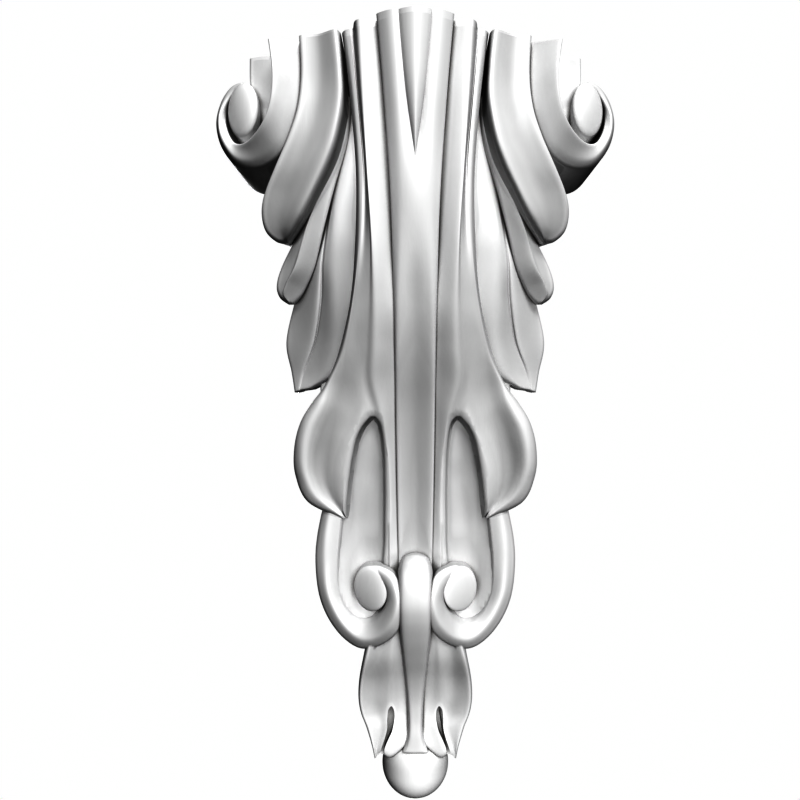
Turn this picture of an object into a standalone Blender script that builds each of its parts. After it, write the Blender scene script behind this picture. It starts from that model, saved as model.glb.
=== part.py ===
"""Carved wooden acanthus corbel, one solid.

The back is flat against the wall on the plane Y = 0, the front faces -Y and the
top face is flat. The origin is on the back, on the centreline, at mid height.

The carving is drawn as a carver would draw it, on one half of the front of the
block. Each point is (across, down, out) in millimetres on the drawing: across
from the centreline, down from the top face and out from the wall. A lobe is a
few smooth lines that run along it, its edges, ridges and hollows, and its
surface is faired through them. Its sides run straight back into the block.
"""
import math

import bmesh
import bpy
from mathutils import Vector

# Overall size of the corbel, in metres.
HEIGHT = 0.368
WIDTH = 0.195
PROJECTION = 0.116

# Size of the block on the drawing, in millimetres.
DRAWN_HEIGHT = 368.0
DRAWN_WIDTH = 195.0
DRAWN_PROJECTION = 116.0

# The lobes are drawn past the flat top and the flat back, which trim them, in millimetres.
BEHIND_WALL = 6.0
# Each lobe ends a little deeper behind the wall than the last, so no two ends share a plane.
BEHIND_STEP = 0.13

# Points closer than this are one point, in metres.
MERGE_DISTANCE = 0.00002
# How late along a lobe its back is tucked in: higher is nearer the tip.
TUCK_POWER = 3

# Facets between two drawn points, along a lobe and across it.
FACET_COUNT_ALONG = 2
FACET_COUNT_ACROSS = 2
EYE_SIDES = 20
EYE_RINGS = 4

# The ball drop, in millimetres on the drawing.
BALL_HALF_WIDTH = 17.0
BALL_HALF_HEIGHT = 15.8
BALL_HALF_DEPTH = 21.0
BALL_DOWN = 352.2
BALL_OUT = 18.5
BALL_SIDES = 24
BALL_RINGS = 12

WOOD_COLOUR = (0.71, 0.71, 0.70)
WOOD_ROUGHNESS = 0.5

# Lines of the lobes that cross the centreline, given for one half and mirrored.
STEM = (
    [(0, -4, 110.5), (0, 36, 110.5), (0, 79, 109.5), (0, 121, 95.3), (0, 165, 73), (0, 203, 57.5),
     (0, 243, 47.5), (0, 270, 44)],
    [(9.8, -4, 113), (7.4, 36, 111.7), (6.2, 79, 108.2), (7.4, 121, 96.6), (7.9, 165, 74.8), (7.9, 203, 59.8),
     (7.6, 243, 49.5), (7.6, 270, 46)],
    [(17, -4, 108.3), (13.5, 36, 107.5), (10.7, 79, 104.8), (9.8, 121, 93.8), (9.5, 165, 72.3), (9.2, 203, 57),
     (8.6, 243, 46.8), (8.6, 270, 43)],
)
V_TONGUE = (
    [(0, -4, 116), (0, 28, 115), (0, 56, 112), (0, 70, 107.5)],
    [(6, -4, 114), (3.6, 28, 113.3), (1, 56, 110.8), (0.4, 70, 107.2)],
    [(10, -4, 109.5), (6, 28, 109.3), (1.6, 56, 108.6), (0.7, 70, 106.5)],
)
CURL = (
    [(0, 239.4, 57), (0, 242, 63.5), (0, 249, 68.6), (0, 259.5, 69.9), (0, 268.5, 67.6), (0, 279, 62),
     (0, 290, 54.8), (0, 301.5, 47.2), (0, 313, 42.2), (0, 324, 40.2), (0, 333, 40), (0, 341.5, 39.5)],
    [(4.2, 240.3, 56), (5.5, 243.3, 61.5), (6, 249.5, 67.2), (6.2, 259.5, 68.6), (6.1, 268.5, 66.4),
     (5.7, 279, 61), (5, 290, 54), (4.2, 301.5, 46.5), (3.3, 313, 41.6), (2.8, 324, 39.7),
     (2.9, 333, 39.5), (4, 341.5, 39.3)],
    [(6.3, 241.8, 52), (8, 245.6, 56), (8.7, 251.5, 60.7), (8.6, 260, 63), (8.2, 268.5, 61.3), (7.6, 279, 56.5),
     (6.6, 290, 50), (5.5, 301.5, 43), (4.4, 313, 38.5), (3.8, 324, 36.5), (4, 333, 37), (6.5, 341.5, 38.5)],
)

# Lines of the lobes on one side, which are mirrored to the other.
LONG_LEAF = (
    [(16.3, -4, 100.5), (13, 31, 101.3), (9.8, 65, 100.3), (9, 95, 97.5), (8.8, 120, 93.5), (8.6, 140, 84.5),
     (8.4, 156, 76.5), (8.4, 170, 70), (8.2, 185, 63.8), (8, 200, 58.3), (7.8, 215, 54), (7.5, 232, 50),
     (7.3, 252, 46.7)],
    [(23.8, -4, 102.2), (21.9, 31, 104.3), (19.9, 65, 105.5), (17.9, 95, 103.5), (17, 120, 96.8),
     (17.2, 140, 88.5), (17.8, 156, 80.5), (15.2, 170, 74), (13.3, 185, 67), (12.3, 200, 61.3),
     (12, 215, 56.5), (12, 232, 52.3), (12, 252, 49)],
    [(26.8, -4, 99.2), (24.2, 31, 101.5), (21.2, 65, 103.5), (19.8, 95, 102), (20.5, 120, 95.2),
     (22, 140, 86.8), (22.5, 156, 79.3), (19, 172, 73.2), (17, 187, 66.3), (16, 200, 60.8),
     (15.5, 215, 56), (15.5, 232, 51.5), (15.5, 252, 48)],
    [(28, -4, 91.2), (25, 31, 95.5), (22, 65, 98.6), (22.2, 95, 99.5), (24.5, 120, 93.4), (27, 140, 85.2),
     (26, 160, 77.3), (24.5, 177, 72.6), (28.2, 187, 69), (31, 197, 65.2), (32.7, 207, 61),
     (33.4, 215.5, 57), (33.6, 222, 53)],
    [(29.7, -4, 90.4), (25.8, 31, 95.4), (23.2, 65, 98.5), (24, 95, 98.9), (27, 120, 92.3), (31, 142, 83.5),
     (34, 158, 75.5), (37, 170, 71.3), (41, 181, 67), (43.8, 191.5, 62.5), (44, 202, 58.5),
     (41, 211.5, 55.3), (34, 222.3, 52.8)],
    [(31.8, -4, 89), (27.4, 31, 94.5), (24.8, 65, 97.6), (25.3, 97, 97.5), (28.2, 121, 91.3),
     (33.5, 143, 82.2), (39.5, 157, 76), (44.5, 168, 73.8), (50, 179, 70.8), (52.4, 190, 67.5),
     (52, 201, 63.5), (47, 211.8, 58.7), (34.2, 222.6, 53)],
    [(33.5, -4, 86.3), (29, 31, 91.8), (26.2, 65, 95), (26.8, 98, 94), (29.5, 122, 88), (35.5, 144, 78.5),
     (42, 158, 73), (48.5, 166.5, 69.8), (54.3, 176, 66.8), (57.5, 188, 63.3), (57.4, 201, 59.3),
     (51.5, 214.5, 55.5), (34.4, 223, 52)],
)
CUP = (
    [(26, 164, 71), (29.5, 178, 67), (33, 191, 62), (35, 204, 57.5), (39, 225, 50.5), (40.5, 250, 47),
     (37.5, 278, 43.5)],
    [(20.5, 164, 67.5), (21, 176, 62.3), (22.5, 190, 56.5), (23.5, 204, 50.8), (25.5, 225, 44),
     (27, 250, 40.5), (27.5, 278, 40)],
    [(13, 164, 71), (12.5, 178, 66), (12.3, 191, 60.5), (12.3, 204, 56), (12.5, 225, 50), (13, 250, 46.5),
     (13, 278, 45)],
)
CUP_RIM = (
    [(44.5, 214, 48.5), (48, 231, 48), (49, 244.5, 47.5), (47.5, 260, 46.5), (43, 272, 46.3),
     (35.5, 281.7, 47), (26.5, 286.4, 49.5), (16.5, 283.6, 54), (8.7, 276, 60), (5.6, 265, 64.5),
     (6, 255.5, 65), (10, 248, 62), (16.5, 245, 57.5), (21.6, 245.3, 53), (24.6, 247.4, 49.5)],
    [(41, 215, 52), (43.3, 231, 52), (43.8, 244, 52), (42.5, 258, 51.8), (38.5, 268.5, 51.5),
     (32.5, 276.6, 52), (25.8, 280.2, 54.5), (18.2, 278, 58.5), (12, 271, 63.8), (9.4, 262.5, 67),
     (9.7, 255, 67), (12.7, 250.2, 64), (17.4, 247.8, 60), (21.5, 247.6, 54.7), (24.2, 248.5, 50.5)],
    [(36, 217, 50), (37.6, 231, 49.7), (38.6, 244, 49.3), (38, 258.5, 48.5), (34.5, 267.7, 48.3),
     (29.7, 273.2, 49), (24.7, 274.8, 51.5), (19.8, 272.6, 55.5), (16, 267, 60), (14, 261, 63),
     (14.2, 256.3, 63), (16, 253, 61.5), (19, 251.4, 58.5), (21.3, 250.2, 54.5), (23.8, 249.6, 51)],
)
BOTTOM_LEAF = (
    [(21.5, 276, 53), (25.2, 290, 49), (27.7, 303, 42.2), (28.4, 313.5, 38.7), (27.4, 322, 37),
     (24.8, 329.5, 36), (22.4, 336.5, 37), (20.5, 344.2, 38.2)],
    [(19.8, 276, 55.5), (23.5, 290, 51.5), (26, 303, 44.2), (26.9, 313.5, 40.2), (25.9, 322, 38.7),
     (23.4, 330, 38.5), (21.4, 336.8, 39.3), (20.2, 344, 39)],
    [(15.5, 276, 54), (17.8, 290, 49), (19.3, 303, 41.2), (19.7, 313.5, 37.2), (18.8, 322, 35.5),
     (17.3, 330, 36.2), (18.4, 337, 36.7), (19.6, 343.8, 37.7)],
    [(11, 276, 54.5), (12.2, 290, 49.5), (12.9, 303, 42.2), (13.2, 313.5, 38), (13, 322, 36.8),
     (13.2, 330, 38.3), (15.3, 337, 38.8), (16.2, 344.8, 35.2)],
    [(8.5, 276, 54), (9, 290, 48.5), (9, 303, 41.2), (9, 313.5, 37), (9.3, 322, 36.3), (9.8, 330, 38.2),
     (10.5, 337, 39), (12.2, 346, 34.7)],
    [(3, 276, 52), (3.2, 290, 47), (3.5, 303, 39.7), (3.5, 313.5, 35.7), (3.3, 322, 35), (3, 330, 36),
     (2.8, 335, 37.5), (3, 338.5, 37.2)],
)
ROLLED_LOBE = (
    [(53, -4, 84), (52, 16, 83.5), (53.5, 31.5, 83.5), (58, 44.5, 81.5), (64.5, 57, 77), (70.5, 68.5, 70.5),
     (72.6, 77, 65.5), (71.3, 84.5, 61.5), (66.5, 89.2, 59.5), (61.8, 90.2, 59)],
    [(44.5, -4, 85), (42.5, 16, 84.7), (43, 31, 84.7), (46.5, 44.5, 83), (52.7, 57, 79), (59, 68.5, 73),
     (62.7, 77, 68.3), (64, 83.5, 64.5), (63, 88, 61.5), (61.6, 90, 59.7)],
    [(36.5, -4, 91.6), (34.6, 16, 91.3), (34.4, 30, 91.2), (37.5, 45.5, 89.5), (42.3, 57.3, 86),
     (49, 69.3, 80), (54, 77.5, 74.5), (57.6, 83, 69.5), (60, 87, 64.8), (61.4, 89.8, 60.5)],
    [(33.9, -4, 87.5), (32.2, 16.5, 88.5), (32, 30, 89), (35, 46.5, 87.5), (39.5, 58.5, 84), (46.5, 71, 78),
     (51.5, 79.3, 72.3), (55.5, 84.6, 67), (58.7, 88, 62.8), (61.1, 90.2, 59.5)],
)
VOLUTE = (
    [(53, -4, 74.5), (52.5, 17, 74.2), (55, 33, 71.5), (62.5, 46.5, 65), (73, 52.6, 58.5), (85, 51, 53.5),
     (94, 42.6, 49.5), (97.4, 30.5, 48.5), (95.7, 19.7, 49.5), (90.2, 13, 52), (83.5, 11.2, 55)],
    [(60, -4, 77.2), (59.3, 16, 77.4), (61.3, 31, 76), (67, 42, 71.3), (76.2, 47.2, 65.5), (86, 45.7, 60.5),
     (92.6, 37, 57.5), (94.4, 27.5, 56), (92.1, 18.3, 56), (87.7, 13, 57), (83, 12, 57.5)],
    [(68, -4, 79.3), (65.5, 14.5, 80.7), (66.8, 28, 79), (71.7, 37.6, 74.3), (79.7, 43, 65.5),
     (87, 41.2, 57.5), (91.2, 33, 54), (91.6, 24, 53.5), (89, 17, 54.5), (85.5, 14.2, 56), (82.5, 13.2, 57)],
)
VOLUTE_CHANNEL = (
    [(80, -4, 50.5), (80, 11.5, 50.5), (78, 21, 51), (77.5, 31, 50), (82, 41.5, 45)],
    [(74, -4, 55.8), (73.5, 11.5, 54.8), (73.5, 23, 53.5), (75.5, 35, 51), (81, 42.3, 46)],
    [(67.5, -4, 58.5), (67, 14, 57.5), (68.3, 27.5, 56), (72, 38, 53), (80, 43, 47)],
)
UPPER_SIDE_LEAF = (
    [(35, 17, 57), (40, 51, 60), (49, 72, 57.5), (59, 87.5, 50), (66.2, 100, 44.5), (68.8, 108.5, 42),
     (67.3, 114.2, 40.5), (63, 117.4, 39.5)],
    [(33.9, 18.6, 60), (37.8, 43.5, 64), (44.2, 63.8, 64.3), (52.4, 81, 59.3), (59.4, 99.5, 51),
     (64.3, 108.2, 45.3), (65.7, 113.3, 42.4), (62.6, 117.1, 40.2)],
    [(32.6, 19.3, 61), (36, 42.5, 65.2), (41.8, 62.3, 65.9), (49.7, 80, 61.2), (56.8, 99, 53.2),
     (62.3, 108, 46.9), (64.3, 113, 43.4), (62.2, 117, 40.6)],
    [(30, 21.5, 59), (32.3, 42.5, 63), (38.5, 65, 64), (44, 84, 58.5), (48.8, 100, 50.5), (54.8, 111, 43.5),
     (58.5, 115.4, 41), (61, 117.4, 39.7)],
)
LOWER_SIDE_LEAF = (
    [(26, 24, 58), (25.5, 56, 62.5), (25.5, 79.6, 62), (26.5, 98, 58.4), (28.5, 116.5, 51.7),
     (32, 135.5, 41.5), (40.5, 151.5, 31), (53.5, 159.2, 25)],
    [(29, 25, 58.5), (32, 56, 63), (36.5, 79.6, 62.3), (38, 98, 58), (39, 116.5, 51), (40.5, 135.5, 41),
     (46, 151, 31.5), (56, 159.6, 24)],
    [(31.5, 26, 57.5), (37, 56, 60.5), (40.5, 79.6, 59.5), (43.5, 98, 55), (45, 116.5, 46.5),
     (49, 135.5, 35.5), (55.5, 150, 26.5), (59, 160, 22.5)],
    [(32.5, 26.5, 56.5), (38.5, 56, 58), (42, 79.6, 57), (45, 98, 52.5), (46.4, 116.5, 44.3),
     (50.4, 135.5, 33.7), (56.7, 150.5, 25.5), (59.6, 160.3, 22.2)],
    [(33.5, 27, 56), (40, 56, 56.5), (43.5, 79.6, 55), (47, 98, 51.3), (49.5, 116.5, 44), (53, 135.5, 33.3),
     (58.7, 150.5, 25.3), (60.5, 160.6, 22)],
    [(35, 27.5, 54), (42, 56, 52), (48, 79.6, 49), (55, 98, 42), (61.5, 116.5, 34), (66.3, 135.5, 28),
     (64, 150.5, 23.5), (62.5, 161, 21)],
)
# The plain wood behind the carving, which the lobes grow out of.
GROUND = (
    [(-72, -4, 40), (-72, 25, 40), (-76, 45, 38), (-58, 75, 34), (-52, 110, 26), (-50, 150, 18),
     (-48, 175, 24), (-46, 200, 28), (-40, 245, 28), (-28, 280, 28), (-18, 310, 24), (-9, 345, 22)],
    [(72, -4, 41), (72, 25, 41), (76, 45, 39), (58, 75, 35), (52, 110, 27), (50, 150, 19),
     (48, 175, 25), (46, 200, 29), (40, 245, 29), (28, 280, 29), (18, 310, 25), (9, 345, 23)],
)
# Round eyes of the two scrolls: centre, half width, half height, then how far out the
# outer side and the inner side stand, and how far the crown stands over them.
BIG_EYE = {"centre": (83.1, 25.4), "half_width": 8.3, "half_height": 13.1,
           "outer_side": 50.0, "inner_side": 59.5, "crown": 5.0}
SMALL_EYE = {"centre": (21.6, 256.0), "half_width": 8.4, "half_height": 10.9,
             "outer_side": 48.5, "inner_side": 60.0, "crown": 3.0}
# Pockets cut in from the front: both sides of the outline, from the top down, where the
# pocket meets the surface, then its floor and how much of the flare its lip has.
LEAF_POCKET = (
    [(20.8, 173, 73.3), (24.6, 177.3, 72), (27.7, 183.7, 69.7), (29.9, 193, 66.2), (31.7, 203.5, 62),
     (33, 213.5, 57.7), (34, 223, 52.3), (37, 235, 48), (39, 250, 45), (39, 268, 44)],
    [(19, 173, 72.8), (16.7, 176, 71.2), (15.4, 182.6, 68.2), (14.7, 193, 63.6), (14.6, 203, 59.8),
     (14.6, 213, 56.4), (14.8, 223, 53.7), (15, 235, 51), (16, 250, 48.2), (16, 268, 46)],
)
LEAF_POCKET_CUT = {"floor": 25.0, "lip": 1.0}
BOTTOM_SLIT = (
    [(12.2, 318.8, 40.2), (13, 320.7, 39.9), (13.2, 325, 40), (13.2, 330, 40.7), (14.5, 334.5, 41),
     (16.3, 338.7, 39.8), (17.8, 341.8, 38.5), (20.3, 345, 38.5), (20, 348, 38)],
    [(11.7, 318.8, 40.2), (11, 320.9, 39.7), (11.2, 325, 40), (12.4, 331, 41), (13.9, 335, 41.2),
     (15, 338.7, 40.2), (15.3, 341.5, 38.6), (15, 344.5, 36.7), (14, 348, 36)],
)
BOTTOM_SLIT_CUT = {"floor": 30.0, "lip": 0.3}
# The flare of a full lip: at a rise over the surface, how far the cut is wider.
FLARE = ((-1.6, 0.0), (0.2, 0.45), (1.2, 1.5), (30.0, 1.8))
# How far the back of a rolled tip is tucked under it: towards the centreline, and up.
TUCKS = {"rolled_lobe": (4.0, 9.0), "upper_side_leaf": (3.0, 5.0)}


def to_block(across, down, out):
    """Turn a point of the drawing into a place on the corbel, in metres."""
    return (across * WIDTH / DRAWN_WIDTH,
            -out * PROJECTION / DRAWN_PROJECTION,
            HEIGHT / 2 - down * HEIGHT / DRAWN_HEIGHT)


def faired(points, steps):
    """Points on the smooth curve through the drawn points, with steps between each two."""
    ends = [points[0]] + list(points) + [points[-1]]
    curve = []
    for first, start, end, last in zip(ends, ends[1:], ends[2:], ends[3:]):
        for step in range(steps):
            t = step / steps
            curve.append(tuple(
                b + 0.5 * t * ((c - a) + t * ((2 * a - 5 * b + 4 * c - d) + t * (3 * (b - c) + d - a)))
                for a, b, c, d in zip(first, start, end, last)))
    curve.append(tuple(points[-1]))
    return curve


def lobe(name, lines, behind, tuck=(0.0, 0.0)):
    """A closed lobe: its front is faired through its lines and its sides run straight back."""
    long_lines = [faired(line, FACET_COUNT_ALONG) for line in lines]
    rows = [faired(section, FACET_COUNT_ACROSS) for section in zip(*long_lines)]
    mesh = bmesh.new()
    front = [[mesh.verts.new(to_block(*point)) for point in row] for row in rows]
    for row, next_row in zip(front, front[1:]):
        for a, b, c, d in zip(row, row[1:], next_row[1:], next_row):
            mesh.faces.new((a, b, c, d))
    last = len(rows[0]) - 1
    border = ([(0, i) for i in range(last)] + [(r, last) for r in range(len(rows) - 1)]
              + [(len(rows) - 1, i) for i in range(last, 0, -1)] + [(r, 0) for r in range(len(rows) - 1, 0, -1)])
    shares = [(r / (len(rows) - 1)) ** TUCK_POWER for r, i in border]
    close_back(mesh, [front[r][i] for r, i in border], behind, [(tuck[0] * s, tuck[1] * s) for s in shares])
    return finished_lobe(name, mesh)


def close_back(mesh, border, out, tucks=None):
    """Run the walls from the border to a flat end, straight or tucked in by its own amount."""
    back = []
    for i, vertex in enumerate(border):
        inward, up = tucks[i] if tucks else (0.0, 0.0)
        shift = Vector(to_block(-math.copysign(inward, vertex.co.x), -up, out)) - Vector(to_block(0, 0, 0))
        back.append(mesh.verts.new((vertex.co.x + shift.x, shift.y, vertex.co.z + shift.z)))
    for i, vertex in enumerate(border):
        j = (i + 1) % len(border)
        mesh.faces.new((vertex, border[j], back[j], back[i]))
    mesh.faces.new(back)


def finished_lobe(name, mesh):
    """Merge what meets at a tip, turn the faces outward and make the object."""
    bmesh.ops.remove_doubles(mesh, verts=mesh.verts, dist=MERGE_DISTANCE)
    bmesh.ops.recalc_face_normals(mesh, faces=mesh.faces)
    data = bpy.data.meshes.new(name)
    mesh.to_mesh(data)
    mesh.free()
    lobe_object = bpy.data.objects.new(name, data)
    bpy.context.collection.objects.link(lobe_object)
    return lobe_object


def pocket(name, side, outline, floor, lip):
    """A cutter with the pocket's outline and a flared lip, from the floor out past the front."""
    left, right = [faired(line, FACET_COUNT_ALONG) for line in outline]
    border = left + right[::-1]
    mesh = bmesh.new()
    rings = []
    for rise, flare in FLARE:
        ring = []
        for i, (across, down, out) in enumerate(border):
            before, after = border[i - 1], border[(i + 1) % len(border)]
            away = Vector((after[1] - before[1], before[0] - after[0])).normalized() * flare * lip
            ring.append(mesh.verts.new(to_block(side * (across + away.x), down + away.y, out + rise)))
        rings.append(ring)
    for low, high in zip(rings, rings[1:]):
        for i, vertex in enumerate(low):
            j = (i + 1) % len(low)
            mesh.faces.new((vertex, low[j], high[j], high[i]))
    mesh.faces.new(rings[-1])
    close_back(mesh, rings[0], floor)
    return finished_lobe(name, mesh)


def both_halves(lines):
    """Lines from one edge across the centreline to the other, from the lines of one half."""
    mirrored = [[(-across, down, out) for across, down, out in line] for line in lines]
    return mirrored[:0:-1] + list(lines)


def other_side(lines):
    """The same lines on the other side of the centreline."""
    return [[(-across, down, out) for across, down, out in line] for line in lines]


def eye(name, side, behind, centre, half_width, half_height, outer_side, inner_side, crown):
    """The round end of a scroll: a low tilted dome, with sides that run straight back."""
    mesh = bmesh.new()
    middle = (outer_side + inner_side) / 2
    tilt = (outer_side - inner_side) / 2

    def ring(share):
        """One ring of the dome, at a share of its half width."""
        points = []
        rise = crown * math.sqrt(max(0.0, 1 - share * share))
        for i in range(EYE_SIDES):
            angle = 2 * math.pi * i / EYE_SIDES
            across = centre[0] + share * half_width * math.cos(angle)
            down = centre[1] + share * half_height * math.sin(angle)
            out = middle + tilt * share * math.cos(angle) + rise
            points.append(mesh.verts.new(to_block(side * across, down, out)))
        return points

    shares = [math.sin(math.pi / 2 * (i + 1) / EYE_RINGS) for i in range(EYE_RINGS)]
    rings = [ring(share) for share in shares]
    top = mesh.verts.new(to_block(side * centre[0], centre[1], middle + crown))
    for i in range(EYE_SIDES):
        j = (i + 1) % EYE_SIDES
        mesh.faces.new((top, rings[0][i], rings[0][j]))
        for small, large in zip(rings, rings[1:]):
            mesh.faces.new((small[i], large[i], large[j], small[j]))
    close_back(mesh, rings[-1], behind)
    return finished_lobe(name, mesh)


def ball():
    """The ball drop at the foot, a slightly flattened ball that the wall plane cuts."""
    mesh = bmesh.new()
    bmesh.ops.create_uvsphere(mesh, u_segments=BALL_SIDES, v_segments=BALL_RINGS, radius=1.0)
    for vertex in mesh.verts:
        vertex.co = to_block(vertex.co.x * BALL_HALF_WIDTH,
                             BALL_DOWN - vertex.co.z * BALL_HALF_HEIGHT,
                             BALL_OUT - vertex.co.y * BALL_HALF_DEPTH)
    return finished_lobe("ball", mesh)


def carve_lobes():
    """Every lobe of the carving, each with a back end of its own depth."""
    middle_lobes = {"stem": STEM, "v_tongue": V_TONGUE, "curl": CURL}
    side_lobes = {"long_leaf": LONG_LEAF, "cup": CUP, "cup_rim": CUP_RIM, "bottom_leaf": BOTTOM_LEAF,
                  "rolled_lobe": ROLLED_LOBE, "volute": VOLUTE, "volute_channel": VOLUTE_CHANNEL,
                  "upper_side_leaf": UPPER_SIDE_LEAF, "lower_side_leaf": LOWER_SIDE_LEAF}
    eyes = {"big_eye": BIG_EYE, "small_eye": SMALL_EYE}
    pockets = {"long_leaf": (LEAF_POCKET, LEAF_POCKET_CUT), "bottom_leaf": (BOTTOM_SLIT, BOTTOM_SLIT_CUT)}
    behind = -BEHIND_WALL
    lobes = [lobe("ground", GROUND, behind), ball()]
    cutters = []
    for name, lines in middle_lobes.items():
        behind -= BEHIND_STEP
        lobes.append(lobe(name, both_halves(lines), behind))
    for side, sign in (("left", 1), ("right", -1)):
        for name, lines in side_lobes.items():
            behind -= BEHIND_STEP
            side_lines = lines if sign == 1 else other_side(lines)
            carved = lobe(name + "_" + side, side_lines, behind, TUCKS.get(name, (0.0, 0.0)))
            if name in pockets:
                outline, cut = pockets[name]
                cutters.append(pocket(name + "_pocket_" + side, sign, outline, **cut))
                boolean(carved, cutters[-1], "DIFFERENCE")
            lobes.append(carved)
        for name, sizes in eyes.items():
            behind -= BEHIND_STEP
            lobes.append(eye(name + "_" + side, sign, behind, **sizes))
    return lobes, cutters


def trimming_box(name, low, high):
    """A box that cuts the lobes off flat."""
    mesh = bmesh.new()
    bmesh.ops.create_cube(mesh, size=1.0)
    for vertex in mesh.verts:
        vertex.co = [a + (b - a) * (share + 0.5) for a, b, share in zip(low, high, vertex.co)]
    return finished_lobe(name, mesh)


def boolean(target, operand, operation):
    """Add one Boolean modifier, with one object or a collection as its operand."""
    modifier = target.modifiers.new(operation.title(), "BOOLEAN")
    modifier.operation = operation
    modifier.solver = "EXACT"
    if isinstance(operand, bpy.types.Collection):
        modifier.operand_type = "COLLECTION"
        modifier.collection = operand
    else:
        modifier.object = operand


def wood():
    """Pale painted wood."""
    material = bpy.data.materials.new("painted_wood")
    material.use_nodes = True
    shader = material.node_tree.nodes["Principled BSDF"]
    shader.inputs["Base Color"].default_value = (*WOOD_COLOUR, 1.0)
    shader.inputs["Roughness"].default_value = WOOD_ROUGHNESS
    return material


def main():
    """Join the lobes into the one carved solid and cut its top and back flat."""
    for leftover in list(bpy.data.objects):
        bpy.data.objects.remove(leftover, do_unlink=True)
    lobes, cutters = carve_lobes()
    rest = bpy.data.collections.new("lobes")
    for lobe_object in lobes[1:]:
        rest.objects.link(lobe_object)
    margin = 0.5 * HEIGHT
    wall = trimming_box("wall_trim", (-WIDTH, 0, -HEIGHT), (WIDTH, margin, HEIGHT))
    top = trimming_box("top_trim", (-WIDTH, -PROJECTION - margin, HEIGHT / 2), (WIDTH, margin, HEIGHT))
    block = lobes[0]
    boolean(block, rest, "UNION")
    boolean(block, wall, "DIFFERENCE")
    boolean(block, top, "DIFFERENCE")
    graph = bpy.context.evaluated_depsgraph_get()
    data = bpy.data.meshes.new_from_object(block.evaluated_get(graph))
    for used in lobes + cutters + [wall, top]:
        bpy.data.objects.remove(used, do_unlink=True)
    bpy.data.collections.remove(rest)
    data.name = "corbel"
    data.materials.clear()
    data.materials.append(wood())
    corbel = bpy.data.objects.new("corbel", data)
    bpy.context.collection.objects.link(corbel)


main()
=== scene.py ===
"""The finished corbel: its fine carving, its painted wood and the studio it is shown in.

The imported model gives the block's size. The carving is drawn as a carver would draw it,
on one half of the front of the block. Each drawn point is (across, down, out) in
millimetres: across from the centreline, down from the top face and out from the wall.
A lobe is a few smooth lines that run along it, and its surface is faired through them.
Each sub-assembly shapes its lobes finely and rounds their edges, and one Geometry Nodes
tree welds them into the single carved piece, cuts it flat at the wall and at the top
and finds its hollows.
"""
from __future__ import annotations

import logging
import math
from dataclasses import dataclass
from enum import Enum

import bmesh
import bpy
import numpy as np
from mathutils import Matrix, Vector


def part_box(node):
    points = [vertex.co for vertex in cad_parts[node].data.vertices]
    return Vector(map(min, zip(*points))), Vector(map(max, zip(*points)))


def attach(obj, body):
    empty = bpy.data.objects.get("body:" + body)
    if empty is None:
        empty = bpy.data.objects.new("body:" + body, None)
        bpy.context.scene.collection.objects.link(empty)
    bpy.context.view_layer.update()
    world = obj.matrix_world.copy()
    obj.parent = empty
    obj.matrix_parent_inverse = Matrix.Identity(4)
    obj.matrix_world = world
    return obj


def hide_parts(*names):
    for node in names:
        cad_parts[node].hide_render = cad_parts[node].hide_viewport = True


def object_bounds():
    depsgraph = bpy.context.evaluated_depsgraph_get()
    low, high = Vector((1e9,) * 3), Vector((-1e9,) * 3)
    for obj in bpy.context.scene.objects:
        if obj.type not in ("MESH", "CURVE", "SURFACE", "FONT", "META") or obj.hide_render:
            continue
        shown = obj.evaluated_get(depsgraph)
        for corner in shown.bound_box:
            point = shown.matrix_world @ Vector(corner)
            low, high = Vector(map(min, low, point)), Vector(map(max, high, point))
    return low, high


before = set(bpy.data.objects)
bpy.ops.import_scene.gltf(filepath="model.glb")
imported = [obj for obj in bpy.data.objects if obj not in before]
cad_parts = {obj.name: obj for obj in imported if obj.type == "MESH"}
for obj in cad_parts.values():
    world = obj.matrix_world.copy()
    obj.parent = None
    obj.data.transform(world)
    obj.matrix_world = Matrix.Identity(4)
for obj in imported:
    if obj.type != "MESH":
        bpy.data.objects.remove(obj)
CAD_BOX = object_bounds()

LOG = logging.getLogger("corbel")
MM = 0.001

Point = tuple[float, float, float]
Line = tuple[Point, ...]
Lines = tuple[Line, ...]
Shape = bpy.types.Object
Socket = bpy.types.NodeSocket

# The drawn block in millimetres: how far the carving reaches across, down and out.
DRAWN_REACH = (97.4, 368.0, 115.9)
# The lobes are drawn past the flat back, which trims them.
BEHIND_WALL = 6.0
# Each lobe ends a little deeper behind the wall than the last, so no two ends share a plane.
BEHIND_STEP = 0.13
# Facets between two drawn points, along a lobe and across it.
ALONG = 9
ACROSS = 8
# Where the columns of a rounded edge lie, as shares of its radius from the border.
ROUNDED_COLUMNS = (0.0, 0.08, 0.24, 0.48, 0.8, 1.2)
# The most that a rounded edge takes of the interval at the border, where the row has two
# or more intervals and where it has one.
EDGE_SHARES = (0.7, 0.4)
# Vertices of a shape that are closer than this, in millimetres, are one vertex.
TIP_GAP = 0.01
# Stands in for a length of nought in a division.
NOUGHT = 1e-9


class Side(Enum):
    """The two halves of the corbel, by the sign of X."""

    LEFT = -1
    RIGHT = 1


class Trim(Enum):
    """The two flat cuts that end the carving."""

    WALL = "wall"
    TOP = "top"


@dataclass(frozen=True)
class Block:
    """The block of wood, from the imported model's box.

    Args:
        low: Lowest corner, in metres.
        high: Highest corner, in metres.
    """

    low: Point
    high: Point

    def place(self, points: np.ndarray) -> np.ndarray:
        """Turn drawn points into places on the block.

        Args:
            points: Rows of (across, down, out) in drawn millimetres.

        Returns:
            Rows of (x, y, z) in metres.
        """
        reach, height, depth = DRAWN_REACH
        across = np.clip(points[..., 0], -reach, reach) / reach
        return np.stack([across * self.high[0],
                         points[..., 2] / depth * self.low[1],
                         self.high[2] - points[..., 1] / height * (self.high[2] - self.low[2])], axis=-1)


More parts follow.
